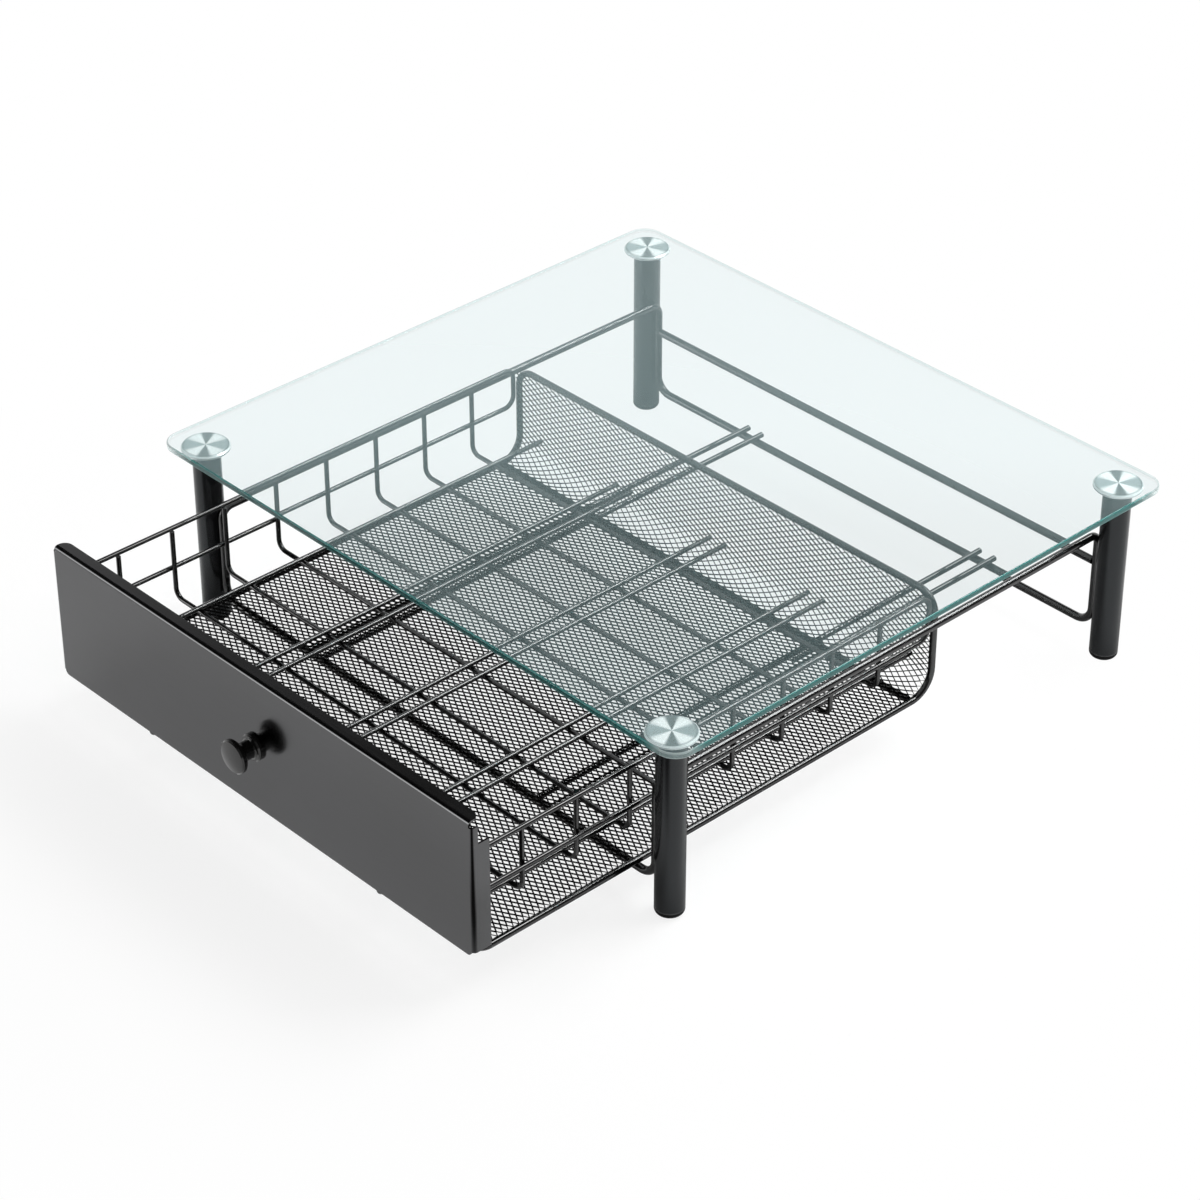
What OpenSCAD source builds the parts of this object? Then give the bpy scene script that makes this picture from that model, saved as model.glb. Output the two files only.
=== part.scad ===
// Coffee pod drawer: a wire drawer with pod lanes that slides in a low glass-topped stand.
// Millimetres. +X is to the right, -Y is the way the drawer opens, +Z is up.
// The floor is z = 0, and the origin lies under the middle of the whole part at rest.
// The pod lanes drive the drawer, and the drawer drives the stand around it.

/* [Pod lanes] */
// Clear width between the two rails of one lane
lane_clear = 54.1; // [45:0.1:62]
// Number of lanes side by side
lane_count = 4; // [2:1:5]
// Distance between the two rails that part neighbouring lanes, centre to centre
pair_gap = 10; // [6:0.5:16]
// From the left wire of the rack to the first lane rail, centre to centre
lane_margin_left = 18.5; // [8:0.5:30]
// From the last lane rail to the right wire of the rack, centre to centre
lane_margin_right = 6.8; // [6.5:0.1:30]

/* [Rack wires] */
// Diameter of the rack's wire
rack_d = 2.4; // [2:0.1:3]
// Number of cross wires
cross_count = 8; // [5:1:10]
// From the face of the panel to the first cross wire
cross_first = 32.5; // [20:0.5:45]
// Distance between cross wires
cross_pitch = 31.4; // [24:0.2:38]
// Bend radius at the lower corners of a cross wire
cross_bend = 5; // [3:0.5:6]
// How far the lane rails run on past the last cross wire
lane_tail = 30; // [18:0.5:45]
// Height of the cross wires' upright ends above their floor run, centre to centre
rack_h = 36.5; // [30:0.5:44]
// Drop from the upper side rail to the lower one, centre to centre
side_drop = 21.5; // [15:0.5:28]
// Bend radius at the rear of a side rail
side_bend = 6; // [4:0.5:7]
// Clear height of the rack above the mesh floor
rack_lift = 12.4; // [6:0.2:20]

/* [Tray] */
// Diameter of the wire round the tray
rim_d = 3.4; // [3:0.1:4.5]
// Height of the tray's back, rim centre to rim centre
back_h = 51.4; // [40:0.2:56]
// Bend radius where the tray's floor turns up into its back
rim_rear_bend = 13; // [10:0.5:18]
// Bend radius at the upper corners of the back
rim_top_bend = 10; // [6:0.5:16]
// Bend radius at the front corners of the floor
rim_front_bend = 6; // [4:0.5:10]
// Thickness of the expanded mesh
mesh_t = 1; // [0.8:0.1:1.6]
// Long way of one mesh diamond, drawn coarser than the real net
mesh_long = 33; // [28:1:48]
// Short way of one mesh diamond, drawn coarser than the real net
mesh_short = 18.4; // [16:0.2:26]
// Width of one mesh strand, drawn coarser to match
mesh_strand = 4.6; // [3:0.1:6]
// Diameter of the guide wires that run between the runners
guide_d = 2.4; // [2:0.1:2.8]
// Length of a guide's foot along the runners
guide_len = 18; // [12:0.5:26]
// How far a front guide reaches up the back of the panel
guide_rise = 8; // [5:0.5:16]

/* [Front panel] */
// Height of the panel
panel_h = 71; // [66:0.5:90]
// Sheet thickness
panel_t = 1; // [0.8:0.1:1.5]
// Outer bend radius of the folds
panel_fold = 2; // [1.8:0.1:3]
// Depth of the top flange, from the face
top_flange = 7; // [5:0.2:12]
// Radius at the rear corners of the top flange
flange_round = 4.6; // [1:0.1:5]
// Depth of the side flanges, from the face
side_flange = 9.8; // [5:0.2:14]
// Height of the cut-out at the top of a side flange, from the panel's top
side_notch = 12; // [8:0.5:16]
// Width of the strip that the cut-out leaves beside the fold
side_strip = 1.6; // [1:0.1:2]
// Height of the relief between the fold of the top flange and a side fold
corner_relief = 1; // [0.5:0.1:5]
// Radius at the lower corners of the face
panel_round = 2.4; // [1:0.1:3]
// Room between the panel's lower edge and the runners
panel_lift = 2.3; // [1:0.1:6]

/* [Knob] */
// Diameter of the knob's head
knob_d = 16.6; // [12:0.2:24]
// Reach of the knob in front of the panel
knob_len = 13.4; // [12:0.2:26]
// Diameter of the knob's neck
knob_neck_d = 8.8; // [6.6:0.2:10]
// Diameter of the knob's foot
knob_foot_d = 13.4; // [10.6:0.2:18]
// Height of the knob's axis above the panel's lower edge
knob_height = 33.5; // [22:0.5:44]
// Thread diameter of the knob's screw
knob_screw_d = 4; // [3:0.5:5]

/* [Stand] */
// Thickness of the glass
glass_t = 3.2; // [3:0.1:8]
// Corner radius of the glass
glass_round = 10; // [4:0.5:30]
// Overhang of the glass past the leg axis at the sides
glass_over_x = 17.4; // [14:0.2:40]
// Overhang of the glass past the leg axis at front and back
glass_over_y = 15.2; // [14:0.2:40]
// Diameter of a leg
leg_d = 14; // [12:0.5:20]
// Wall of the leg tube
leg_wall = 1.2; // [0.8:0.1:1.8]
// Height of a foot below its leg
foot_h = 3.2; // [3:0.1:8]
// Rounding of a foot's lower edge
foot_round = 2.6; // [1:0.1:3]
// How far a foot's stem goes up into the leg
foot_stem = 10; // [6:0.5:11]
// Diameter of a disc under the glass
disc_d = 24; // [18:0.5:27]
// Thickness of a disc
disc_t = 2; // [1.5:0.1:3]
// Bevel round a disc's upper edge
disc_bevel = 0.8; // [0.3:0.1:1.2]
// Thread diameter of the stud under a disc
stud_d = 6; // [4:0.5:7]
// Length of that stud
stud_len = 14; // [10:0.5:20]

/* [Frame wires] */
// Diameter of the frame's wire
frame_d = 4; // [3:0.1:5]
// Height of the bottom wires above the floor, at their centre
bottom_z = 13.5; // [8:0.5:20]
// Height of the side rails above the floor, at their centre
rail_z = 65.5; // [50:0.5:76]
// Height of the rear stop rail above the floor, at its centre
stop_z = 49; // [36:0.5:54]
// Bend radius at the upper corners of the frame
frame_top_bend = 6; // [4:0.5:9]
// Bend radius at the lower corners of the frame
frame_low_bend = 9; // [5:0.5:12]
// Diameter of a runner wire
runner_d = 3; // [2.8:0.1:4]
// From the middle of the stand to the middle of a runner pair
runner_x = 81; // [50:1:105]
// Distance between the two wires of a runner pair, centre to centre
runner_pair = 9.6; // [8:0.2:16]
// How far a runner runs on past the middle of a bottom wire
runner_end = 3; // [1:0.5:8]

/* [Clearances] */
// Gap left at welds and pressed seats
weld = 0.1; // [0.05:0.01:0.2]
// Running gap between the drawer and its runners
slide_gap = 0.3; // [0.2:0.05:1]
// Gap between the closed drawer and the stop rail
stop_gap = 0.5; // [0.3:0.1:2]
// Gap between the panel's sides and the frame
side_gap = 3; // [1:0.5:8]
// Gap between the panel's top and the glass
top_gap = 3.9; // [2.5:0.1:12]
// Gap between the tray's rim and the panel's side flanges
flange_gap = 0.3; // [0.2:0.05:1]
// Gap between the lane rails' free ends and the mesh back
lane_end_gap = 1.6; // [0.5:0.1:6]
// Setback of the closed panel behind the front legs' axis
front_set = 0.8; // [0:0.1:6]

/* [Pose] */
// How far the drawer stands open at rest
drawer_open = 102; // [0:1:200]

/* [Hidden] */
$fn = 64;

// Places across, from the middle of the drawer
lane_step = lane_clear + rack_d;
lanes_w = lane_count * lane_step + (lane_count - 1) * pair_gap;
rack_half = (lane_margin_left + lanes_w + lane_margin_right) / 2;
lane_x0 = -rack_half + lane_margin_left;
side_x = rack_half + rack_d + weld;
rim_x = side_x;
panel_half = rim_x + rim_d / 2 + flange_gap + panel_t;
frame_x = panel_half + side_gap + frame_d / 2;
leg_x = frame_x + frame_d / 2 + weld + leg_d / 2;
glass_w = 2 * (leg_x + glass_over_x);

// Heights, from the floor
runner_z = bottom_z + frame_d / 2 + weld + runner_d / 2;
runner_top = runner_z + runner_d / 2;
rim_z = runner_top + slide_gap + rim_d / 2;
guide_z = rim_z - rim_d / 2 - weld - guide_d / 2;
mesh_z = rim_z + rim_d / 2 + weld;
cross_z = mesh_z + mesh_t + rack_lift + rack_d / 2;
lane_z = cross_z + rack_d + weld;
rack_top = cross_z + rack_h;
side_low = rack_top - side_drop;
back_top = rim_z + back_h;
panel_z0 = runner_top + panel_lift;
panel_z1 = panel_z0 + panel_h;
knob_z = panel_z0 + knob_height;
glass_z = panel_z1 + top_gap;
leg_top = glass_z - disc_t;

// Places along the drawer, from the face of its panel backwards
guide_v = panel_t + weld + guide_d / 2;
rim_front_v = guide_v + guide_d / 2 + weld + rim_d / 2;
function cross_v(i) = cross_first + (i - 1) * cross_pitch;
lane_end_v = cross_v(cross_count) + lane_tail;
mesh_back_v = lane_end_v + lane_end_gap;
side_rear_v = mesh_back_v - weld - rack_d / 2;
rim_back_v = mesh_back_v + mesh_t + weld + rim_d / 2;
bar_v = rim_back_v - rim_rear_bend;
rear_guide_v = bar_v + rim_d / 2 + weld + guide_d / 2;

// Places along the stand, from its middle
leg_y = (rim_back_v + rim_d / 2 + stop_gap + frame_d / 2 + front_set) / 2;
glass_d = 2 * (leg_y + glass_over_y);
face_y = -leg_y + front_set - drawer_open;
front_most = min(-glass_d / 2, face_y - knob_len);
stand_y = -(glass_d / 2 + front_most) / 2;

// Sizes of small features
arc_steps = 6;
stem_chamfer = 1;
guide_bend = 2;
insert_spare = 3;
insert_len = stud_len + insert_spare;
hole_slack = 0.2;
overcut = 0.5;
screw_head_d = 2 * knob_screw_d;
screw_head_h = 0.65 * knob_screw_d;
screw_len = 9;
screw_spare = 1;
knob_foot_t = 2.2;
knob_head_t = 4.6;
knob_crown = 0.9;
knob_edge = 0.7;
knob_cove = 1.2;
knob_flare = 2.4;
least_fillet = 0.2;
mesh_lap = 0.5;
mesh_border = mesh_strand / 2;

LEGS = [["front_left", -1, -1], ["front_right", 1, -1], ["rear_left", -1, 1], ["rear_right", 1, 1]];
RUNNERS = [["left_outer", -1, 1], ["left_inner", -1, -1], ["right_inner", 1, -1], ["right_outer", 1, 1]];
SIDES = [["left", -1], ["right", 1]];
rail_count = 2 * lane_count;

// Shared shapes

// Points of an arc, for a profile
function arc(c, r, from, to) =
    [for (i = [0 : arc_steps]) let (a = from + (to - from) * i / arc_steps) c + r * [cos(a), sin(a)]];

// A solid's place and turn, from its origin and three axes
module pose(o, x, y, z) {
    multmatrix([[x.x, y.x, z.x, o.x], [x.y, y.y, z.y, o.y], [x.z, y.z, z.z, o.z], [0, 0, 0, 1]])
        children();
}

// A straight run of round wire along one of the axes
module wire_run(a, b, d) {
    u = (b - a) / norm(b - a);
    s = abs(u.z) > 0.5 ? [1, 0, 0] : [0, 0, 1];
    pose(a, s, cross(u, s), u) cylinder(h = norm(b - a), d = d);
}

// A quarter bend of round wire at corner c, entered along u and left along v
module wire_bend(c, u, v, r, d) {
    pose(c - u * r + v * r, -v, u, cross(u, v))
        rotate_extrude(angle = 90) translate([r, 0]) circle(d = d);
}

// One bent wire through square corners, with a bend radius for each point of its path
module bent_wire(path, bends, d, closed = false) {
    n = len(path);
    for (i = [0 : closed ? n - 1 : n - 2]) {
        a = path[i];
        b = path[(i + 1) % n];
        u = (b - a) / norm(b - a);
        wire_run(a + u * bends[i], b - u * bends[(i + 1) % n], d);
    }
    for (i = [closed ? 0 : 1 : closed ? n - 1 : n - 2]) {
        u = path[i] - path[(i + n - 1) % n];
        v = path[(i + 1) % n] - path[i];
        wire_bend(path[i], u / norm(u), v / norm(v), bends[i], d);
    }
}

// A rectangle with rounded corners, about the origin
module rounded_rect(w, d, r) {
    square([w - 2 * r, d], center = true);
    square([w, d - 2 * r], center = true);
    for (sx = [-1, 1], sy = [-1, 1])
        translate([sx * (w / 2 - r), sy * (d / 2 - r)]) circle(r);
}

// What is left of a square corner outside its rounding, pointing to +X +Y
module corner_waste(r) {
    difference() {
        square(r + overcut);
        circle(r);
    }
}

// The section of a right-angled fold: a web of length web along +Y, and a flange towards +X
module fold_section(web, flange, t, r) {
    square([t, web - r]);
    translate([r, web - t]) square([flange - r, t]);
    translate([r, web - r]) intersection() {
        difference() {
            circle(r);
            circle(r - t);
        }
        translate([-r, 0]) square(r);
    }
}

// A flat net of diamonds, w wide and l long from the origin along +Y
// Whole diamonds fill the cells and the corners between them, and half diamonds meet the border
module net(w, l) {
    columns = net_columns(w);
    rows = max(1, round((l - 2 * mesh_border) / mesh_short));
    cell = [(w - 2 * mesh_border) / columns, (l - 2 * mesh_border) / rows];
    open_share = 1 - mesh_strand * norm(cell) / (cell.x * cell.y);
    a = cell.x / 2 * open_share;
    b = cell.y / 2 * open_share;
    difference() {
        translate([-w / 2, 0]) square([w, l]);
        translate([mesh_border - w / 2, mesh_border]) {
            for (i = [0 : columns - 1], j = [0 : rows - 1])
                translate([(i + 0.5) * cell.x, (j + 0.5) * cell.y]) diamond(a, a, b, b);
            for (i = [0 : columns], j = [0 : rows])
                if ((i > 0 && i < columns) || (j > 0 && j < rows))
                    translate([i * cell.x, j * cell.y])
                        diamond(i > 0 ? a : 0, i < columns ? a : 0, j > 0 ? b : 0, j < rows ? b : 0);
        }
    }
}

function net_columns(w) = round((w - 2 * mesh_border) / mesh_long);

module diamond(left, right, down, up) {
    polygon([[right, 0], [0, up], [-left, 0], [0, -down]]);
}

// The stand, about its own middle

module glass_top() {
    color([0.62, 0.82, 0.8, 0.4]) translate([0, 0, glass_z])
        linear_extrude(glass_t) rounded_rect(glass_w, glass_d, glass_round);
}

module disc(sx, sy) {
    r = disc_d / 2;
    color("silver") translate([sx * leg_x, sy * leg_y, glass_z - disc_t])
        rotate_extrude() polygon([[0, 0], [r - disc_bevel / 2, 0], [r, disc_bevel / 2],
            [r, disc_t - disc_bevel], [r - disc_bevel, disc_t], [0, disc_t]]);
}

module disc_studs() {
    color("gainsboro") for (l = LEGS)
        translate([l[1] * leg_x, l[2] * leg_y, leg_top - stud_len]) cylinder(h = stud_len, d = stud_d);
}

module leg_inserts() {
    color("gainsboro") for (l = LEGS)
        translate([l[1] * leg_x, l[2] * leg_y, leg_top - insert_len]) difference() {
            cylinder(h = insert_len, d = leg_d - 2 * leg_wall - 2 * weld);
            translate([0, 0, -overcut]) cylinder(h = insert_len + 2 * overcut, d = stud_d + 2 * weld);
        }
}

module leg(sx, sy) {
    tube = leg_top - foot_h;
    color("black") translate([sx * leg_x, sy * leg_y, foot_h]) difference() {
        cylinder(h = tube, d = leg_d);
        translate([0, 0, -overcut]) cylinder(h = tube + 2 * overcut, d = leg_d - 2 * leg_wall);
    }
}

module foot(sx, sy) {
    r = leg_d / 2;
    stem_r = r - leg_wall - weld;
    color([0.08, 0.08, 0.08]) translate([sx * leg_x, sy * leg_y, 0])
        rotate_extrude() polygon(concat([[0, 0]], arc([r - foot_round, foot_round], foot_round, -90, 0),
            [[r, foot_h], [stem_r, foot_h], [stem_r, foot_h + foot_stem - stem_chamfer],
            [stem_r - stem_chamfer, foot_h + foot_stem], [0, foot_h + foot_stem]]));
}

// Half of the frame's wire loop, butt-welded to its twin under the drawer
module frame(sx) {
    x = sx * frame_x;
    color("black") bent_wire(
        [[0, -leg_y, bottom_z], [x, -leg_y, bottom_z], [x, -leg_y, rail_z],
            [x, leg_y, rail_z], [x, leg_y, bottom_z], [0, leg_y, bottom_z]],
        [0, frame_low_bend, frame_top_bend, frame_top_bend, frame_low_bend, 0], frame_d);
}

module stop_rail() {
    reach = frame_x - frame_d / 2 - weld;
    color("black") wire_run([-reach, leg_y, stop_z], [reach, leg_y, stop_z], frame_d);
}

module runner(side, out) {
    x = side * (runner_x + out * runner_pair / 2);
    reach = leg_y + runner_end;
    color("black") wire_run([x, -reach, runner_z], [x, reach, runner_z], runner_d);
}

// The drawer, from the middle of its panel's face

module front_panel() {
    web = panel_half - panel_fold;
    side_h = panel_h - panel_fold - corner_relief - panel_round;
    rear_round = min(flange_round, top_flange - panel_fold);
    color([0.4, 0.4, 0.41]) difference() {
        union() {
            rotate([90, 0, 90]) translate([0, panel_z0, -web])
                linear_extrude(2 * web) fold_section(panel_h, top_flange, panel_t, panel_fold);
            for (sx = [0, 1]) mirror([sx, 0, 0])
                translate([0, 0, panel_z0 + panel_round])
                    linear_extrude(side_h)
                        mirror([1, -1, 0]) fold_section(panel_half, side_flange, panel_t, panel_fold);
        }
        for (sx = [0, 1]) mirror([sx, 0, 0]) {
            translate([web - panel_round, panel_t + overcut, panel_z0 + panel_round])
                rotate([90, 0, 0]) linear_extrude(panel_t + 2 * overcut)
                    mirror([0, 1]) corner_waste(panel_round);
            translate([web - rear_round, top_flange - rear_round, panel_z1 - panel_t - overcut])
                linear_extrude(panel_t + 2 * overcut) corner_waste(rear_round);
            translate([panel_half - panel_t - overcut, panel_fold + side_strip, panel_z1 - side_notch])
                cube([panel_t + 2 * overcut, side_flange, side_notch - panel_fold]);
        }
        translate([0, -overcut, knob_z]) rotate([-90, 0, 0])
            cylinder(h = panel_t + 2 * overcut, d = knob_screw_d + 2 * hole_slack);
    }
}

module knob() {
    head = knob_d / 2;
    neck = knob_neck_d / 2;
    foot = knob_foot_d / 2;
    head_back = knob_len - knob_head_t;
    face_r = head - knob_edge;
    face_h = knob_len - knob_crown;
    crown_r = (pow(face_r, 2) + pow(knob_crown, 2)) / (2 * knob_crown);
    cove = max(least_fillet, min(knob_cove, foot - knob_edge - neck));
    flare = max(least_fillet, min(knob_flare, head - knob_edge - neck));
    bore = screw_len - panel_t + screw_spare;
    profile = concat(
        [[0, 0], [foot, 0], [foot, knob_foot_t - knob_edge], [foot - knob_edge, knob_foot_t]],
        arc([neck + cove, knob_foot_t + cove], cove, 270, 180),
        arc([neck + flare, head_back - flare], flare, 180, 90),
        [[head - knob_edge, head_back + knob_edge], [head, head_back + 2 * knob_edge], [head, face_h - knob_edge]],
        [for (i = [0 : arc_steps]) let (r = face_r * (1 - i / arc_steps))
            [r, knob_len - crown_r + sqrt(pow(crown_r, 2) - pow(r, 2))]]);
    color([0.05, 0.05, 0.05]) translate([0, 0, knob_z]) rotate([90, 0, 0]) difference() {
        rotate_extrude() polygon(profile);
        translate([0, 0, -overcut]) cylinder(h = bore + overcut, d = knob_screw_d + 2 * weld);
    }
}

module knob_screw() {
    color("gainsboro") translate([0, panel_t, knob_z]) rotate([90, 0, 0]) {
        cylinder(h = screw_len, d = knob_screw_d);
        translate([0, 0, -screw_head_h]) cylinder(h = screw_head_h, d = screw_head_d);
    }
}

module tray_rim() {
    color("black") bent_wire(
        [[-rim_x, rim_front_v, rim_z], [rim_x, rim_front_v, rim_z], [rim_x, rim_back_v, rim_z],
            [rim_x, rim_back_v, back_top], [-rim_x, rim_back_v, back_top], [-rim_x, rim_back_v, rim_z]],
        [rim_front_bend, rim_front_bend, rim_rear_bend, rim_top_bend, rim_top_bend, rim_rear_bend],
        rim_d, true);
}

module tray_rear_bar() {
    reach = rim_x - rim_d / 2 - weld;
    color("black") wire_run([-reach, bar_v, rim_z], [reach, bar_v, rim_z], rim_d);
}

module mesh_floor() {
    front = rim_front_v - rim_d / 2;
    color([0.12, 0.12, 0.12]) translate([0, front, mesh_z])
        linear_extrude(mesh_t) net(2 * (rim_x + mesh_lap), bar_v - front);
}

// The mesh's back: the bend that follows the rim, then the upright net
module mesh_back() {
    w = 2 * (rim_x + mesh_lap);
    r_in = rim_rear_bend - rim_d / 2 - weld - mesh_t;
    bend_z = rim_z + rim_rear_bend;
    columns = net_columns(w);
    pitch = (w - 2 * mesh_border) / columns;
    bend_open = pitch / 2 - mesh_strand;
    color([0.12, 0.12, 0.12]) {
        difference() {
            pose([-w / 2, bar_v, bend_z], [0, 0, -1], [0, 1, 0], [1, 0, 0])
                rotate_extrude(angle = 90) translate([r_in, 0]) square([mesh_t, w]);
            for (i = [0 : columns - 1])
                translate([(i - (columns - 1) / 2) * pitch, bar_v, bend_z]) rotate([45, 0, 0])
                    translate([0, 0, -rim_rear_bend]) linear_extrude(rim_rear_bend)
                        diamond(bend_open, bend_open, r_in / 2, r_in / 2);
        }
        translate([0, mesh_back_v + mesh_t, bend_z]) rotate([90, 0, 0]) linear_extrude(mesh_t) difference() {
            net(w, back_top - bend_z);
            for (sx = [0, 1]) mirror([sx, 0])
                translate([w / 2 - rim_top_bend, back_top - bend_z - rim_top_bend]) corner_waste(rim_top_bend);
        }
    }
}

module cross_wire(i) {
    v = cross_v(i);
    color("black") bent_wire(
        [[-rack_half, v, rack_top], [-rack_half, v, cross_z], [rack_half, v, cross_z], [rack_half, v, rack_top]],
        [0, cross_bend, cross_bend, 0], rack_d);
}

// Lane rails are counted from the left, two to a lane
function rail_x(i) = lane_x0 + ceil(i / 2) * lane_step - (i % 2) * lane_step + floor((i - 1) / 2) * pair_gap;

module lane_rail(i) {
    color("black") wire_run([rail_x(i), panel_t + weld, lane_z], [rail_x(i), lane_end_v, lane_z], rack_d);
}

module side_rail(sx) {
    x = sx * side_x;
    front = panel_t + weld;
    color("black") bent_wire(
        [[x, front, rack_top], [x, side_rear_v, rack_top], [x, side_rear_v, side_low], [x, front, side_low]],
        [0, side_bend, side_bend, 0], rack_d);
}

module front_guide(sx) {
    x = sx * runner_x;
    color("black") bent_wire(
        [[x, guide_v, panel_z0 + guide_rise], [x, guide_v, guide_z], [x, guide_v + guide_len, guide_z]],
        [0, guide_bend, 0], guide_d);
}

module rear_guide(sx) {
    x = sx * runner_x;
    color("black") bent_wire(
        [[x, rear_guide_v, mesh_z - weld], [x, rear_guide_v, guide_z], [x, rear_guide_v - guide_len, guide_z]],
        [0, guide_bend, 0], guide_d);
}

// Placing the stand and the drawer in the part's frame
module in_stand() {
    translate([0, stand_y, 0]) children();
}

module in_drawer() {
    translate([0, stand_y + face_y, 0]) children();
}

in_stand() glass_top();
in_stand() disc_studs();
in_stand() leg_inserts();
for (l = LEGS) in_stand() disc(l[1], l[2]);
for (l = LEGS) in_stand() leg(l[1], l[2]);
for (l = LEGS) in_stand() foot(l[1], l[2]);
for (s = SIDES) in_stand() frame(s[1]);
in_stand() stop_rail();
for (r = RUNNERS) in_stand() runner(r[1], r[2]);
in_drawer() front_panel();
in_drawer() knob();
in_drawer() knob_screw();
in_drawer() tray_rim();
in_drawer() tray_rear_bar();
in_drawer() mesh_floor();
in_drawer() mesh_back();
for (i = [1 : cross_count]) in_drawer() cross_wire(i);
for (i = [1 : rail_count]) in_drawer() lane_rail(i);
for (s = SIDES) in_drawer() side_rail(s[1]);
for (s = SIDES) in_drawer() front_guide(s[1]);
for (s = SIDES) in_drawer() rear_guide(s[1]);
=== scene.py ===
# %% [markdown]
# A coffee pod drawer: a glass-topped wire stand, and a mesh drawer that slides in it.
# The imported CAD model comes in as a fixed frame, and everything here is dressed around it.
# Pieces whose CAD shape is right keep it and get a finish. The glass and the mesh are modelled again, finer.

# %% load the frame
import math

import bmesh
import bpy
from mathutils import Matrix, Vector


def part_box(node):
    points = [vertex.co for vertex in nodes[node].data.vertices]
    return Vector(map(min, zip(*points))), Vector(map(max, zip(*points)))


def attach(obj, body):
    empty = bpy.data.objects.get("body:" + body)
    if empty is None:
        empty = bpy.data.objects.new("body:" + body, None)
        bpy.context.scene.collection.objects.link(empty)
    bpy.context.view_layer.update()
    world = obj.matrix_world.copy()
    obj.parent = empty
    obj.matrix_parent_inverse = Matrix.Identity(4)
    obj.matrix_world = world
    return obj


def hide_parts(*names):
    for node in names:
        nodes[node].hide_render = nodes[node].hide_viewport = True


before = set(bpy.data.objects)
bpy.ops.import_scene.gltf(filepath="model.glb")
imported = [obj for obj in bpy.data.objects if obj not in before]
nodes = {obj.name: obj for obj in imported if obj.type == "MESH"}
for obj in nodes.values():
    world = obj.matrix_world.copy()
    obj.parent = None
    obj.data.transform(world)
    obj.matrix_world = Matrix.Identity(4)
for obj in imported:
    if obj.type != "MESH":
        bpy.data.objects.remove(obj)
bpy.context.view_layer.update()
MM = 0.001
MICRON = 0.000001

# %% [markdown]
# The photograph was taken from the front right and above, with a long lens.
# A camera could be placed by eye, but then no edge would lie quite where the photograph has it.
# So one was fitted to the legs, the glass and the wires, and gives the angles and the distance below.
# The small shift is the fitted place of the lens axis in the picture.

# %% camera
SENSOR = 36.0
PHOTO_WIDTH = 1200
LENS_PX = 3656.1
VIEW_AZIMUTH = math.radians(46.905)
VIEW_ELEVATION = math.radians(33.413)
VIEW_DISTANCE = 1.7478
VIEW_TARGET = Vector((-0.00388, 0.01705, 0.03976))
AXIS_PX = (602.4, 588.0)

camera_data = bpy.data.cameras.new("photo_camera")
camera_data.sensor_width = SENSOR
camera_data.lens = LENS_PX * SENSOR / PHOTO_WIDTH
camera_data.shift_x = (PHOTO_WIDTH / 2 - AXIS_PX[0]) / PHOTO_WIDTH
camera_data.shift_y = (AXIS_PX[1] - PHOTO_WIDTH / 2) / PHOTO_WIDTH
camera = bpy.data.objects.new("photo_camera", camera_data)
back = Vector((math.sin(VIEW_AZIMUTH) * math.cos(VIEW_ELEVATION),
               -math.cos(VIEW_AZIMUTH) * math.cos(VIEW_ELEVATION),
               math.sin(VIEW_ELEVATION)))
camera.location = VIEW_TARGET + back * VIEW_DISTANCE
camera.rotation_euler = back.to_track_quat("Z", "Y").to_euler()
bpy.context.scene.collection.objects.link(camera)
bpy.context.scene.camera = camera
print("camera at", [round(v, 3) for v in camera.location], "lens", round(camera_data.lens, 1), "mm")

# %% [markdown]
# Every finish below is a small node tree. Writing shader maths node by node is hard to read,
# so one class wraps a socket and lets Python's operators add the Math nodes.
# A function adds a node of any other kind: its settings first, then the values or links of its sockets.

# %% shader arithmetic
class Value:
    """A socket of a node tree. Arithmetic on it adds Math nodes."""

    def __init__(self, tree, socket):
        self.tree = tree
        self.socket = socket

    def math(self, operation, *others):
        """A Math node with this value first."""
        return add_node(self.tree, "ShaderNodeMath", {"operation": operation},
                        dict(enumerate((self, *others))))

    def vector_math(self, operation, other, out="Vector"):
        """A Vector Math node with this vector first."""
        return add_node(self.tree, "ShaderNodeVectorMath", {"operation": operation},
                        {0: self, 1: other}, out)

    def parts(self, axes):
        """Some parts of a vector: parts("XY") gives its x and its y."""
        return [add_node(self.tree, "ShaderNodeSeparateXYZ", {}, {0: self}, axis) for axis in axes]

    def smooth(self, start, end, low=0.0, high=1.0):
        """A soft step from low at start to high at end. end may be the smaller of the two."""
        return add_node(self.tree, "ShaderNodeMapRange", {"interpolation_type": "SMOOTHSTEP"},
                        {"Value": self, "From Min": start, "From Max": end, "To Min": low, "To Max": high},
                        "Result")

    def spread(self, low, high):
        """A number from low to high, for a value from 0 to 1."""
        return low + self * (high - low)

    def __add__(self, other):
        return self.math("ADD", other)

    __radd__ = __add__

    def __sub__(self, other):
        return self.math("SUBTRACT", other)

    def __rsub__(self, other):
        return add_node(self.tree, "ShaderNodeMath", {"operation": "SUBTRACT"}, {0: other, 1: self})

    def __mul__(self, other):
        return self.math("MULTIPLY", other)

    __rmul__ = __mul__


def feed(tree, socket, value):
    """Links a Value to a socket, or sets the socket to a plain number, colour or vector."""
    if isinstance(value, Value):
        tree.links.new(value.socket, socket)
    else:
        socket.default_value = value


def pick(sockets, key):
    """A socket by its place, its identifier or its name."""
    if isinstance(key, int):
        return sockets[key]
    for socket in sockets:
        if socket.identifier == key:
            return socket
    return sockets[key]


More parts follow.
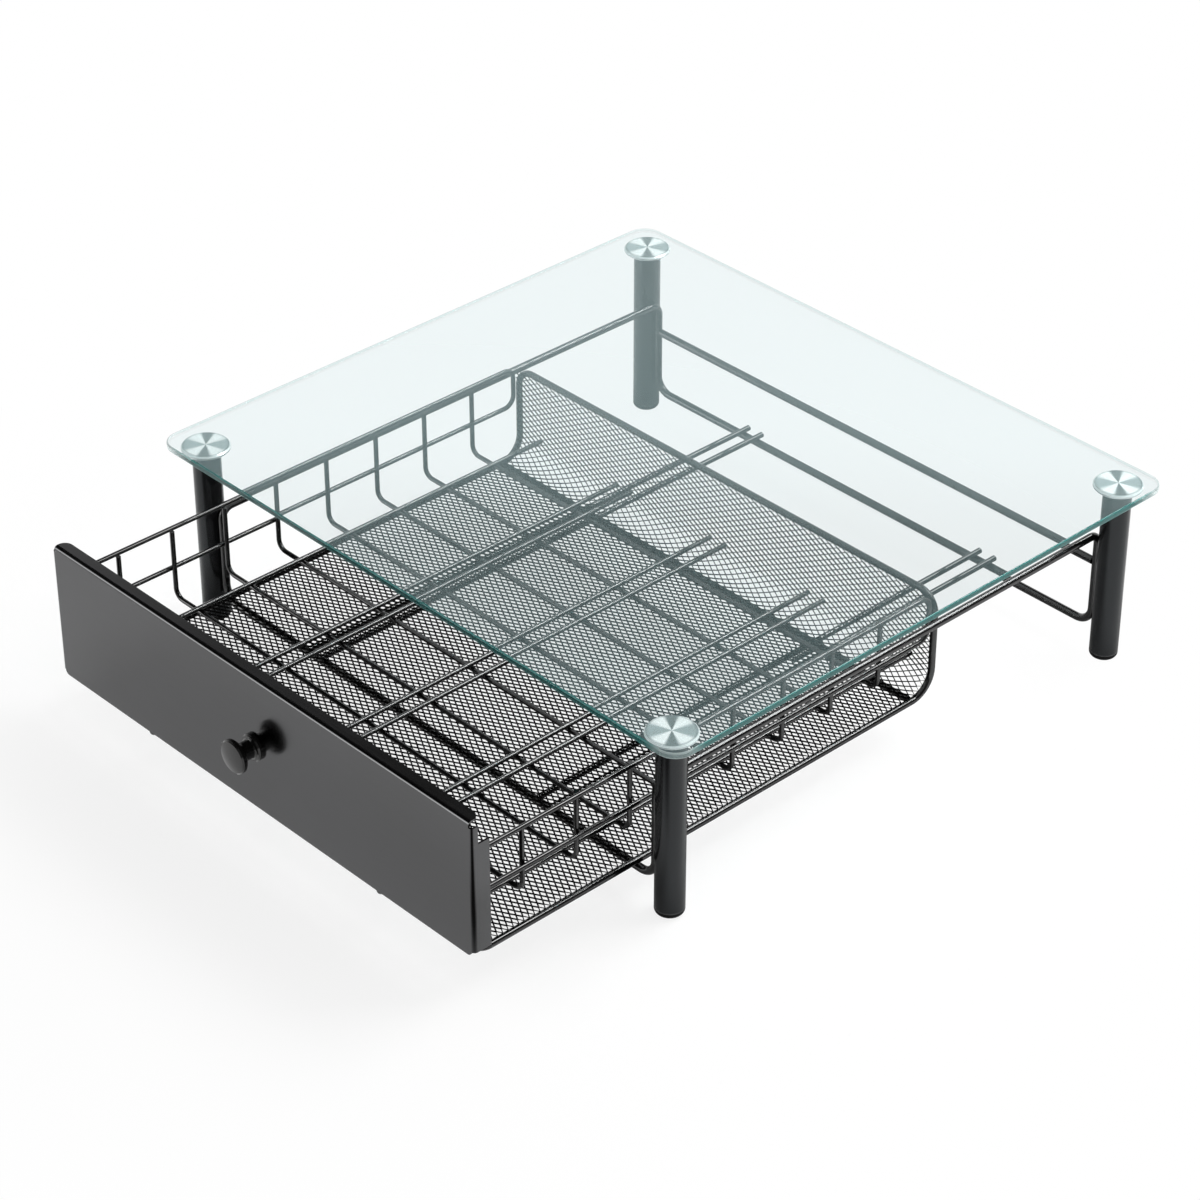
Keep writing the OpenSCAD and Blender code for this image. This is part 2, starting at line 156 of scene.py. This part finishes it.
def add_node(tree, kind, settings=None, values=None, out=0):
    """Adds a node, sets it up, feeds its sockets and returns one of its outputs."""
    node = tree.nodes.new(kind)
    for name, setting in (settings or {}).items():
        setattr(node, name, setting)
    for key, value in (values or {}).items():
        feed(tree, pick(node.inputs, key), value)
    return Value(tree, pick(node.outputs, out))


print("shader arithmetic ready")

# %% [markdown]
# A finish is a material with Blender's Principled shader, which can be metal, plastic, lacquer or glass.
# The same few steps come back in every finish, such as noise, a blend of two colours and a bump,
# so a class holds the material and has one method for each of them.

# %% a finish
class Finish:
    """A material, its Principled shader and the steps that finishes share."""

    def __init__(self, name, constants):
        self.material = bpy.data.materials.new(name)
        self.material.use_nodes = True
        self.tree = self.material.node_tree
        self.shader = self.tree.nodes["Principled BSDF"]
        self.surface = Value(self.tree, self.shader.outputs[0])
        self.set(constants)

    def set(self, values):
        """Feeds sockets of the Principled shader."""
        for name, value in values.items():
            feed(self.tree, self.shader.inputs[name], value)

    def node(self, kind, settings=None, values=None, out=0):
        return add_node(self.tree, kind, settings, values, out)

    def place(self):
        """Where a point lies, in the object's own metres."""
        return self.node("ShaderNodeTexCoord", out="Object")

    def noise(self, scale, detail=3.0, stretch=(1.0, 1.0, 1.0)):
        """Noise from 0 to 1. scale is in bumps per metre."""
        place = self.place().vector_math("MULTIPLY", stretch)
        return self.node("ShaderNodeTexNoise", {},
                         {"Vector": place, "Scale": scale, "Detail": detail}, "Fac")

    def blend(self, amount, first, second):
        """A colour between two colours."""
        return self.node("ShaderNodeMix", {"data_type": "RGBA"},
                         {"Factor_Float": amount, "A_Color": first, "B_Color": second}, "Result_Color")

    def bump(self, height, depth):
        """A Bump node's normal, for a height from 0 to 1 over depth metres."""
        return self.node("ShaderNodeBump", {}, {"Height": height, "Distance": depth, "Strength": 1.0},
                         "Normal")

    def mix(self, amount, first, second):
        """A Mix Shader: the first shader where amount is 0 and the second where it is 1."""
        return self.node("ShaderNodeMixShader", {}, {0: amount, 1: first, 2: second})

    def show(self, shader):
        """Makes a shader the material's surface."""
        feed(self.tree, self.tree.nodes["Material Output"].inputs["Surface"], shader)


def grey(level):
    return (level, level, level, 1.0)


def tint(level, shares):
    """A grey that leans a little to one colour, by its shares of red, green and blue."""
    return (*(level * share for share in shares), 1.0)


print("finish helpers ready")

# %% [markdown]
# The studio is a white backdrop with soft light from everywhere. A plain white world would do for that,
# but black wire that mirrors white on all sides looks grey. So the world differs between kinds of rays.
# The camera sees plain white, straight and through the glass. As a light the world is dimmer,
# so that a colour renders about as it is written. Mirrored, it is a room: the backdrop is behind the stand
# only and ends at about the height of the camera, with a dim room beside it, a dark ceiling above,
# and a pale wall at the front left, which draws a light line along the panel's bend.

# %% world
WORLD_LIGHT = 0.55
ROOM = 0.15
CEILING = 0.03
# Between these sines of the elevation the backdrop ends, and between these cosines off BEHIND
BACKDROP_TOP = (0.51, 0.545)
BACKDROP_SIDE = (0.2, 0.6)
BEHIND = (-0.73, 0.683, 0.0)
# Between these cosines off its heading the pale wall ends
FRONT_WALL = (-0.609, -0.787, 0.084)
FRONT_WALL_EDGE = (0.9, 0.985)
FRONT_WALL_GLOW = 3.4


def ray_kinds(tree):
    """1 for rays that are seen straight or through glass, and 1 for rays that a surface mirrors."""
    straight, mirrored, through = [add_node(tree, "ShaderNodeLightPath", out=name)
                                   for name in ("Is Camera Ray", "Is Glossy Ray", "Is Transmission Ray")]
    seen = straight.math("MAXIMUM", through)
    return seen, mirrored * (1.0 - seen)


world = bpy.data.worlds.new("white_backdrop")
bpy.context.scene.world = world
world.use_nodes = True
sky = world.node_tree
sweep = sky.nodes["Background"]
sweep.inputs["Color"].default_value = grey(1.0)
sky_seen, sky_mirrored = ray_kinds(sky)
heading = add_node(sky, "ShaderNodeTexCoord", out="Generated")
backdrop_up = heading.parts("Z")[0].smooth(*BACKDROP_TOP, 1.0, CEILING)
backdrop_across = heading.vector_math("DOT_PRODUCT", BEHIND, "Value").smooth(*BACKDROP_SIDE, ROOM, 1.0)
front_wall = heading.vector_math("DOT_PRODUCT", FRONT_WALL, "Value")
front_wall = front_wall.smooth(*FRONT_WALL_EDGE, 0.0, FRONT_WALL_GLOW)
sky_room = sky_mirrored * (backdrop_up * backdrop_across + front_wall)
feed(sky, sweep.inputs["Strength"], sky_seen + sky_room + (1.0 - sky_seen - sky_mirrored) * WORLD_LIGHT)
print("world ready, light", WORLD_LIGHT)

# %% [markdown]
# The floor is white too. A plain white sheet would turn grey wherever less light falls on it.
# So it is a large sheet that mostly glows white where it is seen, and is partly lit near the part,
# where that leaves a faint shadow. Only mirrors show two dark patches on it: the shade under the stand,
# and a card at the front right, which draws a dark line down the panel's corner,
# as photographers do with glossy things.

# %% floor
FLOOR_SIZE = 30.0
FLOOR_TONE = 0.97
FLOOR_ROUGHNESS = 0.9
# The share of glow grows from FLOOR_SEEN to 1 between these distances from the middle
FLOOR_SEEN = 0.8
FLOOR_FAR = (0.1, 0.4)
FLOOR_MIDDLE = (0.0, -0.12, 0.0)
FLOOR_MIRRORED = 0.55
UNDER_PLACE = (0.0, 0.05, 0.0)
UNDER_HALF = (0.17, 0.19)
UNDER_DARK = 0.75
CARD_PLACE = (0.214, -0.269, 0.0)
CARD_TURN = math.radians(-43.1)
CARD_HALF = (0.08, 0.06)
PATCH_SOFT = 0.03


def floor_patch(place, middle, turn, half):
    """1 on a rectangle of the floor and 0 off it, with a soft edge."""
    local = add_node(place.tree, "ShaderNodeMapping", {"vector_type": "TEXTURE"},
                     {"Vector": place, "Location": middle, "Rotation": (0.0, 0.0, turn)})
    past_x, past_y = [part.math("ABSOLUTE") - reach for part, reach in zip(local.parts("XY"), half)]
    return past_x.math("MAXIMUM", past_y).smooth(PATCH_SOFT, -PATCH_SOFT)


pale = Finish("pale_floor", {"Base Color": grey(FLOOR_TONE), "Roughness": FLOOR_ROUGHNESS,
                             "Specular IOR Level": 0.0})
white_glow, dark_glow = [pale.node("ShaderNodeEmission", {}, {"Color": grey(1.0), "Strength": strength})
                         for strength in (1.0, CEILING)]
floor_seen, floor_mirrored = ray_kinds(pale.tree)
floor_place = pale.place()
glow_share = floor_place.vector_math("DISTANCE", FLOOR_MIDDLE, "Value").smooth(*FLOOR_FAR, FLOOR_SEEN, 1.0)
bare_floor = pale.mix(floor_seen * glow_share + floor_mirrored * FLOOR_MIRRORED, pale.surface, white_glow)
card = floor_patch(floor_place, CARD_PLACE, CARD_TURN, CARD_HALF)
under = floor_patch(floor_place, UNDER_PLACE, 0.0, UNDER_HALF) * UNDER_DARK
pale.show(pale.mix(floor_mirrored * card.math("MAXIMUM", under), bare_floor, dark_glow))

floor_half = FLOOR_SIZE / 2
floor_corners = [(x * floor_half, y * floor_half, 0) for x, y in ((-1, -1), (1, -1), (1, 1), (-1, 1))]
floor_mesh = bpy.data.meshes.new("floor")
floor_mesh.from_pydata(floor_corners, [], [(0, 1, 2, 3)])
floor_mesh.materials.append(pale.material)
floor = bpy.data.objects.new("floor", floor_mesh)
bpy.context.scene.collection.objects.link(floor)
print("floor of", FLOOR_SIZE, "m")

# %% [markdown]
# One wide lamp adds the light lines on the wires. A small lamp would leave hard points on every wire,
# and a lamp at the front would put a line on every cross wire, which the photograph doesn't have.
# So it hangs high at the rear right, where the glass doesn't mirror it from about the photograph's height.

# %% lamp
LAMP_PLACE = (0.4, 0.93, 1.3)
LAMP_SIZE = (1.0, 0.6)
LAMP_POWER = 20.0

lamp_data = bpy.data.lights.new("rear_lamp", "AREA")
lamp_data.shape = "RECTANGLE"
lamp_data.size, lamp_data.size_y = LAMP_SIZE
lamp_data.energy = LAMP_POWER
lamp = bpy.data.objects.new("rear_lamp", lamp_data)
lamp.location = LAMP_PLACE
lamp.rotation_euler = (lamp.location - VIEW_TARGET).to_track_quat("Z", "Y").to_euler()
lamp.visible_camera = False
bpy.context.scene.collection.objects.link(lamp)
bpy.context.scene.view_settings.view_transform = "Standard"
print("lamp of", LAMP_POWER, "W")

# %% [markdown]
# The wires, the legs and the mesh are steel with a baked black coat, and the feet are black plastic.
# Plain black would do from afar, but such a coat isn't quite even: its gloss drifts over a centimetre or two,
# and it has a fine skin like orange peel. Noise in the piece's own metres gives both,
# so the grain has its real size on every piece. The legs also have a painted highlight:
# a paler line at their lower ends, where the rim of the tube's end would catch the light.

# %% black coats
DRIFT_SCALE = 60.0
DRIFT_ROUGHNESS = 0.05
COAT_DARK = (0.8, 0.8, 0.8)
COAT_LIGHT = (1.2, 1.2, 1.27)
LEG_SHEEN = (0.9, 0.96, 1.0, 1.0)
# The painted highlight line at the legs' lower ends: its height and its tone
LEG_END_HIGHLIGHT = 0.7 * MM
LEG_END_HIGHLIGHT_TONE = 0.08


def black_coat(name, level, roughness, peel_scale, peel_depth, shine):
    """A black coat: level is its tone, and its roughness drifts about the one that is given."""
    coat = Finish(name, {"Specular IOR Level": shine})
    drift = coat.noise(DRIFT_SCALE, detail=2.0)
    peel = coat.noise(peel_scale, detail=4.0)
    coat.tone = coat.blend(drift, tint(level, COAT_DARK), tint(level, COAT_LIGHT))
    coat.set({
        "Base Color": coat.tone,
        "Roughness": drift.spread(roughness - DRIFT_ROUGHNESS, roughness + DRIFT_ROUGHNESS),
        "Normal": coat.bump(peel, peel_depth),
    })
    return coat


wire_coat = black_coat("satin_wire_coat", level=0.002, roughness=0.1,
                       peel_scale=900.0, peel_depth=2 * MICRON, shine=0.8)
mesh_coat = black_coat("mesh_coat", level=0.0015, roughness=0.4,
                       peel_scale=1500.0, peel_depth=10 * MICRON, shine=0.05)
foot_plastic = black_coat("foot_plastic", level=0.003, roughness=0.5,
                          peel_scale=1800.0, peel_depth=20 * MICRON, shine=0.15)
leg_coat = black_coat("satin_leg_coat", level=0.005, roughness=0.2,
                      peel_scale=700.0, peel_depth=3 * MICRON, shine=0.45)
leg_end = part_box("leg_front_left")[0].z
# a painted highlight: the legs are paler close to their lower ends
leg_end_highlight = leg_coat.place().parts("Z")[0].smooth(leg_end + LEG_END_HIGHLIGHT, leg_end)
leg_coat.set({
    "Base Color": leg_coat.blend(leg_end_highlight, leg_coat.tone, grey(LEG_END_HIGHLIGHT_TONE)),
    "Specular Tint": LEG_SHEEN,
})
print("black coats ready, legs end at", round(leg_end / MM, 2), "mm")

# %% [markdown]
# The front panel is a folded steel sheet with a dark satin finish. It could be one more black coat,
# but it mirrors the knob as a soft dark smudge, so it is a dark metal with a fairly low roughness.
# A faint grain along its length breaks up the reflection.

# %% panel metal
PANEL_TONE = 0.107
PANEL_DARK = (0.9, 0.9, 0.9)
PANEL_LIGHT = (1.1, 1.11, 1.15)
PANEL_ROUGHNESS = 0.12
GRAIN_ROUGHNESS = 0.03
CLOUD_ROUGHNESS = 0.04
CLOUD_SHARE = 0.6
GRAIN_SHARE = 0.4
ALONG_PANEL = (0.06, 1.0, 1.0)

panel_metal = Finish("panel_satin_metal", {"Metallic": 1.0})
cloud = panel_metal.noise(scale=14.0)
grain = panel_metal.noise(scale=700.0, stretch=ALONG_PANEL)
panel_metal.set({
    "Base Color": panel_metal.blend(cloud * CLOUD_SHARE + grain * GRAIN_SHARE,
                                    tint(PANEL_TONE, PANEL_DARK), tint(PANEL_TONE, PANEL_LIGHT)),
    "Roughness": PANEL_ROUGHNESS + grain * GRAIN_ROUGHNESS + cloud * CLOUD_ROUGHNESS,
    "Normal": panel_metal.bump(grain, 1 * MICRON),
})
print("panel metal ready")

# %% [markdown]
# The knob is turned and lacquered black. A single glossy black would do, but lacquer has two layers,
# so a thin clear coat lies over a black that is a little duller, with a fine uneven skin in the bump.
# The clear coat is what draws the light spots on its crown.

# %% knob lacquer
KNOB_DARK = grey(0.003)
KNOB_LIGHT = grey(0.007)
KNOB_ROUGHNESS = (0.12, 0.22)

lacquer = Finish("knob_lacquer", {"Coat Weight": 0.4, "Coat Roughness": 0.06, "Specular IOR Level": 0.4})
smudge = lacquer.noise(scale=260.0)
lacquer_skin = lacquer.noise(scale=600.0, detail=2.0)
lacquer.set({
    "Base Color": lacquer.blend(smudge, KNOB_DARK, KNOB_LIGHT),
    "Roughness": smudge.spread(*KNOB_ROUGHNESS),
    "Normal": lacquer.bump(lacquer_skin, 3 * MICRON),
})
print("knob lacquer ready")

# %% [markdown]
# Screws, studs and inserts are zinc-plated steel: a bright grey metal with a slightly cloudy skin.
# They are small and mostly hidden, so one noise is enough for their tone, their roughness and their bump.

# %% plated steel
ZINC_DARK = (0.5, 0.5, 0.48, 1.0)
ZINC_LIGHT = (0.66, 0.66, 0.65, 1.0)
ZINC_ROUGHNESS = (0.28, 0.46)

zinc = Finish("zinc_plate", {"Metallic": 1.0})
bloom = zinc.noise(scale=420.0, detail=4.0)
zinc.set({
    "Base Color": zinc.blend(bloom, ZINC_DARK, ZINC_LIGHT),
    "Roughness": bloom.spread(*ZINC_ROUGHNESS),
    "Normal": zinc.bump(bloom, 10 * MICRON),
})
print("plated steel ready")

# %% [markdown]
# The discs under the glass are turned aluminium. The tool leaves rings too fine to be seen one by one,
# but they spread each reflection into a fan from the middle to the rim.
# Blender's anisotropic gloss could give the fans, but only where a lamp stands just right for them.
# So the fans are a painted reflection: paler and darker sectors about each disc's own centre,
# lined up with the camera's direction, with the streaks of the tool and fine rings,
# and there is a painted shade line inside the rim and a painted highlight on the bevel.

# %% turned discs
# The painted reflection's fans, lined up with the camera's direction, with their pinch and their soft edge
REFLECTION_FAN_TURN = math.radians(43.1)
REFLECTION_FAN_PINCH = 0.145
REFLECTION_FAN_EDGE = (0.2, 0.8)
STREAK_SCALE = 5.0
STREAK_DETAIL = 5.0
RING_RATE = 16000.0
RIM_WIDTH = 0.9 * MM
# The painted shade line inside the rim: its width and its strength
RIM_SHADE_LINE = 0.5 * MM
RIM_SHADE_LINE_SHARE = 0.45
# Colours of the painted reflection, of the painted shade line and of the painted highlight on the bevel
DISC_PAINTED_DARK = (0.12, 0.14, 0.14, 1.0)
DISC_PAINTED_DIM = (0.3, 0.35, 0.35, 1.0)
DISC_PAINTED_STREAK = (0.62, 0.64, 0.63, 1.0)
DISC_PAINTED_BRIGHT = grey(1.0)
# The painted highlight on the bevel
DISC_BEVEL_HIGHLIGHT = (0.62, 0.66, 0.66, 1.0)
DISC_ROUGHNESS = (0.24, 0.32)


def turned_disc(name, centre, rim_radius):
    """Turned aluminium with four fans of painted reflection about a centre, and a painted shade line and a
    painted highlight at the rim.
    """
    face = Finish(name, {"Metallic": 0.5})
    x, y = face.place().vector_math("SUBTRACT", centre).parts("XY")
    radius = (x * x + y * y).math("SQRT")
    angle = y.math("ARCTAN2", x) + REFLECTION_FAN_TURN
    angle = angle + (angle * 2.0).math("SINE") * REFLECTION_FAN_PINCH
    # painted reflection: four pale fans, with dark and dim sectors between them
    reflection_fan = (0.5 - (angle * 4.0).math("COSINE") * 0.5).smooth(*REFLECTION_FAN_EDGE)
    reflection_sideways = 0.5 - (angle * 2.0).math("COSINE") * 0.5
    round_disc = face.node("ShaderNodeCombineXYZ", {}, {0: angle})
    streak = face.node("ShaderNodeTexNoise", {},
                       {"Vector": round_disc, "Scale": STREAK_SCALE, "Detail": STREAK_DETAIL}, "Fac")
    rings = (radius * RING_RATE).math("SINE") * 0.5 + 0.5
    from_rim = rim_radius - radius
    # a painted shade line inside the rim, and a painted highlight on the bevel
    shade_line, bevel = [from_rim.smooth(inner, inner - RIM_SHADE_LINE)
                   for inner in (RIM_WIDTH + 2 * RIM_SHADE_LINE, RIM_WIDTH)]
    painted_reflection = face.blend(reflection_fan, face.blend(reflection_sideways, DISC_PAINTED_DARK, DISC_PAINTED_DIM),
                         face.blend(streak, DISC_PAINTED_STREAK, DISC_PAINTED_BRIGHT))
    lined = face.blend(shade_line * RIM_SHADE_LINE_SHARE, painted_reflection, DISC_PAINTED_DARK)
    face.set({
        "Base Color": face.blend(bevel, lined, DISC_BEVEL_HIGHLIGHT),
        "Roughness": rings.spread(*DISC_ROUGHNESS),
        "Normal": face.bump(rings, 3 * MICRON),
    })
    return face.material


disc_finish = {}
for leg_name in ("front_left", "front_right", "rear_left", "rear_right"):
    disc_low, disc_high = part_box("disc_" + leg_name)
    disc_finish[leg_name] = turned_disc("turned_disc_" + leg_name, (disc_low + disc_high) / 2,
                                        (disc_high.x - disc_low.x) / 2)
print("disc finishes", sorted(disc_finish))

# %% [markdown]
# Most CAD nodes have the right shape and only need a finish. A finish can be set face by face,
# but each of these pieces is of one material, so it goes into every material slot of its node.

# %% finish the frame's own nodes
def wear(node, material):
    slots = nodes[node].material_slots
    for slot in slots:
        slot.material = material
    if not slots:
        nodes[node].data.materials.append(material)


for node_name in nodes:
    if node_name in ("disc_studs", "leg_inserts", "knob_screw"):
        wear(node_name, zinc.material)
    elif node_name.startswith("disc_"):
        wear(node_name, disc_finish[node_name[len("disc_"):]])
    elif node_name.startswith("leg_"):
        wear(node_name, leg_coat.material)
    elif node_name.startswith("foot_"):
        wear(node_name, foot_plastic.material)
    elif node_name == "front_panel":
        wear(node_name, panel_metal.material)
    elif node_name == "knob":
        wear(node_name, lacquer.material)
    else:
        wear(node_name, wire_coat.material)
print("finished", len(nodes), "nodes")

# %% [markdown]
# The glass is ordinary float glass: clear across its thickness and sea green along it, where light
# travels far. The faces are the Principled shader's own glass. By itself it would throw a dark shadow,
# because lamps aren't followed through bent rays, so light from lamps passes the faces as through
# a faintly tinted window. A faint uneven film catches a little light, as on any glass that was handled.

# %% glass faces
GLASS_TINT = (0.85, 0.905, 0.912, 1.0)
GLASS_IOR = 1.52
GLASS_SHEEN = (0.4, 0.93, 1.0, 1.0)
WINDOW_TINT = (0.92, 0.96, 0.955, 1.0)
FILM_TINT = (0.7, 0.88, 0.88, 1.0)
FILM_SHARE = (0.014, 0.026)

float_glass = Finish("float_glass", {"Base Color": GLASS_TINT, "Roughness": 0.0, "IOR": GLASS_IOR,
                                     "Transmission Weight": 1.0, "Specular Tint": GLASS_SHEEN})
film = float_glass.node("ShaderNodeBsdfDiffuse", {}, {"Color": FILM_TINT})
film_share = float_glass.noise(scale=16.0).spread(*FILM_SHARE)
hazed_glass = float_glass.mix(film_share, float_glass.surface, film)
window = float_glass.node("ShaderNodeBsdfTransparent", {}, {"Color": WINDOW_TINT})
shadow_ray = float_glass.node("ShaderNodeLightPath", out="Is Shadow Ray")
float_glass.show(float_glass.mix(shadow_ray, hazed_glass, window))
print("glass faces ready")

# %% [markdown]
# The edges of the sheet are its greenest part. Glass that absorbs light could give that by itself,
# but a ray that enters an edge bounces along the sheet a hundred times before it comes out,
# and a render stops far sooner. So the upright edge and the narrow rounds above and below it
# get finishes of their own: the sea green that such light ends as, with painted highlights:
# paler at the corners and on the rounds.
# From inside the sheet they are mostly a way out to the light.

# %% glass edges
GLASS_CORNER = 10 * MM
CORNER_FULL = 0.6
EDGE_SHINE = 0.6
EDGE_ROUGHNESS = (0.06, 0.14)
EDGE_STREAK_SCALE = 90.0
ALONG_EDGE = (1.0, 1.0, 12.0)
WAY_OUT_TINT = (0.93, 0.985, 0.98, 1.0)

glass_low, glass_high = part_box("glass_top")
glass_middle = (glass_low + glass_high) / 2
glass_half = (glass_high - glass_low) / 2


def edge_finish(name, solid, corner_solid, clear_inside, deep, light, corner_highlight):
    """A glass edge: solid is its alpha from outside, and clear_inside the share of a way out from inside."""
    edge = Finish(name, {"Specular IOR Level": EDGE_SHINE})
    streak = edge.noise(EDGE_STREAK_SCALE, stretch=ALONG_EDGE)
    from_middle = edge.place().vector_math("SUBTRACT", glass_middle).parts("XY")
    near_side, near_end = [part.math("ABSOLUTE").smooth(reach - 2 * GLASS_CORNER, reach)
                           for part, reach in zip(from_middle, glass_half.xy)]
    # the corners get a painted highlight, a paler tone, and they are also more see-through
    corner = edge.node("ShaderNodeMapRange", {},
                       {"Value": near_side * near_end, "From Max": CORNER_FULL}, "Result")
    edge.set({
        "Base Color": edge.blend(corner, edge.blend(streak, deep, light), corner_highlight),
        "Alpha": corner.spread(solid, corner_solid),
        "Roughness": streak.spread(*EDGE_ROUGHNESS),
    })
    inside = edge.node("ShaderNodeNewGeometry", out="Backfacing")
    way_out = edge.node("ShaderNodeBsdfTransparent", {}, {"Color": WAY_OUT_TINT})
    edge.show(edge.mix(inside * clear_inside, edge.surface, way_out))
    return edge.material


glass_edge = edge_finish("green_glass_edge", solid=0.85, corner_solid=0.3, clear_inside=0.9,
                         deep=(0.0, 0.085, 0.08, 1.0), light=(0.01, 0.16, 0.15, 1.0),
                         corner_highlight=(0.55, 0.72, 0.71, 1.0))
# The rounds are paler than the upright edge: a painted highlight line along the rims
glass_arris = edge_finish("bright_glass_arris", solid=0.7, corner_solid=0.8, clear_inside=0.7,
                          deep=(0.01, 0.18, 0.17, 1.0), light=(0.07, 0.33, 0.31, 1.0),
                          corner_highlight=(0.42, 0.5, 0.5, 1.0))
print("glass edges ready")

# %% [markdown]
# The glass top is one sheet with rounded corners, and its edges are ground to a narrow round.
# A modifier could bevel the CAD slab, but a new sheet has cleaner faces: a rounded outline is extruded
# and its two rims are bevelled. The flat faces, the upright edge and the rounds take one finish each.
# The thickness of the bond keeps the sheet off the discs.

# %% glass top
GLASS_ARRIS = 0.7 * MM
GLASS_BOND = 0.05 * MM
CORNER_STEPS = 24
ARRIS_STEPS = 4
SAME_HEIGHT = 1e-7
FLAT = 0.999
UPRIGHT = 0.05
FACE_SLOT, EDGE_SLOT, ARRIS_SLOT = range(3)


def new_object(name, mesh):
    piece = bpy.data.objects.new(name, mesh)
    bpy.context.scene.collection.objects.link(piece)
    return piece


def rounded_outline(low, high, radius, steps):
    """Points round a rectangle with rounded corners, anticlockwise."""
    outline = []
    corners = [(high.x - radius, high.y - radius, 0), (low.x + radius, high.y - radius, 90),
               (low.x + radius, low.y + radius, 180), (high.x - radius, low.y + radius, 270)]
    for cx, cy, start in corners:
        for i in range(steps + 1):
            angle = math.radians(start + 90 * i / steps)
            outline.append((cx + radius * math.cos(angle), cy + radius * math.sin(angle)))
    return outline


sheet_bottom = glass_low.z + GLASS_BOND
shape = bmesh.new()
ring = [shape.verts.new((x, y, sheet_bottom))
        for x, y in rounded_outline(glass_low, glass_high, GLASS_CORNER, CORNER_STEPS)]
raised = bmesh.ops.extrude_face_region(shape, geom=[shape.faces.new(ring)])
bmesh.ops.translate(shape, verts=[v for v in raised["geom"] if isinstance(v, bmesh.types.BMVert)],
                    vec=(0, 0, glass_high.z - sheet_bottom))
bmesh.ops.recalc_face_normals(shape, faces=shape.faces)
rims = [e for e in shape.edges if abs(e.verts[0].co.z - e.verts[1].co.z) < SAME_HEIGHT]
bmesh.ops.bevel(shape, geom=rims, offset=GLASS_ARRIS, segments=ARRIS_STEPS, profile=0.5, affect="EDGES")
glass_mesh = bpy.data.meshes.new("glass_sheet")
shape.to_mesh(glass_mesh)
shape.free()
for polygon in glass_mesh.polygons:
    facing_up = abs(polygon.normal.z)
    polygon.use_smooth = facing_up < FLAT
    if facing_up > FLAT:
        polygon.material_index = FACE_SLOT
    elif facing_up > UPRIGHT:
        polygon.material_index = ARRIS_SLOT
    else:
        polygon.material_index = EDGE_SLOT
for material in (float_glass.material, glass_edge, glass_arris):
    glass_mesh.materials.append(material)
glass_sheet = new_object("glass_sheet", glass_mesh)
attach(glass_sheet, "stand")
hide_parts("glass_top")
print("glass sheet", [round(2 * v / MM, 1) for v in glass_half.xy], "mm,", len(glass_mesh.polygons), "faces")

# %% [markdown]
# The tray's floor and back are one sheet of expanded steel: slit, pulled open into diamonds and bent up
# at the rear. A see-through pattern could stand for the mesh, but its strands are thick enough to be seen,
# and there would be no shape to export. So the strands are modelled on a flat lattice,
# and a function lays the lattice over the floor, round the bend and up the back.

# %% the bent sheet
RIM_D = 3.4 * MM
REAR_BEND = 13 * MM

rim_low, rim_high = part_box("tray_rim")
sheet_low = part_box("mesh_floor")[0].z
sheet_half = rim_high.x - RIM_D / 2
sheet_front = rim_low.y + RIM_D / 2
sheet_top = rim_high.z - RIM_D / 2
bend_start = rim_high.y - RIM_D / 2 - REAR_BEND
bend_z = rim_low.z + RIM_D / 2 + REAR_BEND
bend_out = bend_z - sheet_low
floor_run = bend_start - sheet_front
bend_run = bend_out * math.pi / 2
sheet_run = floor_run + bend_run + (sheet_top - bend_z)


def on_sheet(x, along, height):
    """Where a point of the flat sheet lies once the sheet is bent. height is above its lower face."""
    if along <= floor_run:
        return x, sheet_front + along, sheet_low + height
    if along <= floor_run + bend_run:
        turn = (along - floor_run) / bend_out
        reach = bend_out - height
        return x, bend_start + reach * math.sin(turn), bend_z - reach * math.cos(turn)
    return x, bend_start + bend_out - height, bend_z + along - floor_run - bend_run


print("mesh sheet", round(2 * sheet_half / MM), "by", round(sheet_run / MM), "mm laid flat")

# %% [markdown]
# The diamonds are about 5.5 by 3.1 mm, so there are some eleven thousand of them. An array of one diamond
# would be simpler, but it couldn't follow the bend, so a loop goes over the lattice
# and draws each strand as a small ridge between two diamonds.
# Real strands stand aslant, and from the usual height the floor looks less open than the back.
# That is why the floor and the back have an open share each.

# %% expanded mesh
DIAMOND_LONG = 5.5 * MM
DIAMOND_SHORT = 3.07 * MM
FLOOR_OPEN = 0.72
BACK_OPEN = 0.8
STRAND_HEIGHT = 0.6 * MM
FOUR_WAYS = ((1, 0), (0, 1), (-1, 0), (0, -1))

columns = round(2 * sheet_half / DIAMOND_LONG)
rows = round(sheet_run / DIAMOND_SHORT)
half_long = sheet_half / columns
half_short = sheet_run / rows / 2
points, faces, knuckles = [], [], {}


def add_point(p, q, height):
    """A point at place p, q of the lattice, counted in half diamonds."""
    points.append(on_sheet(p * half_long - sheet_half, q * half_short, height))
    return len(points) - 1


def knuckle(p, q):
    """The upper and lower point where strands meet, made once for each place of the lattice."""
    if (p, q) not in knuckles:
        knuckles[(p, q)] = (add_point(p, q, STRAND_HEIGHT), add_point(p, q, 0.0))
    return knuckles[(p, q)]


for p in range(1, 2 * columns):
    for q in range(1, 2 * rows):
        if (p + q) % 2:
            continue
        share = FLOOR_OPEN if q * half_short < floor_run else BACK_OPEN
        around = [knuckle(p + dp, q + dq) for dp, dq in FOUR_WAYS]
        opening = [add_point(p + share * dp, q + share * dq, 0.0) for dp, dq in FOUR_WAYS]
        for i in range(4):
            j = (i + 1) % 4
            faces.append((around[i][0], around[j][0], opening[j], opening[i]))
            faces.append((around[j][1], around[i][1], opening[i], opening[j]))
tray_mesh = bpy.data.meshes.new("tray_mesh")
tray_mesh.from_pydata(points, [], faces)
tray_mesh.materials.append(mesh_coat.material)
tray_net = new_object("tray_net", tray_mesh)
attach(tray_net, "drawer")
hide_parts("mesh_floor", "mesh_back")
print("mesh of", columns, "by", rows, "diamonds,", len(faces), "faces")
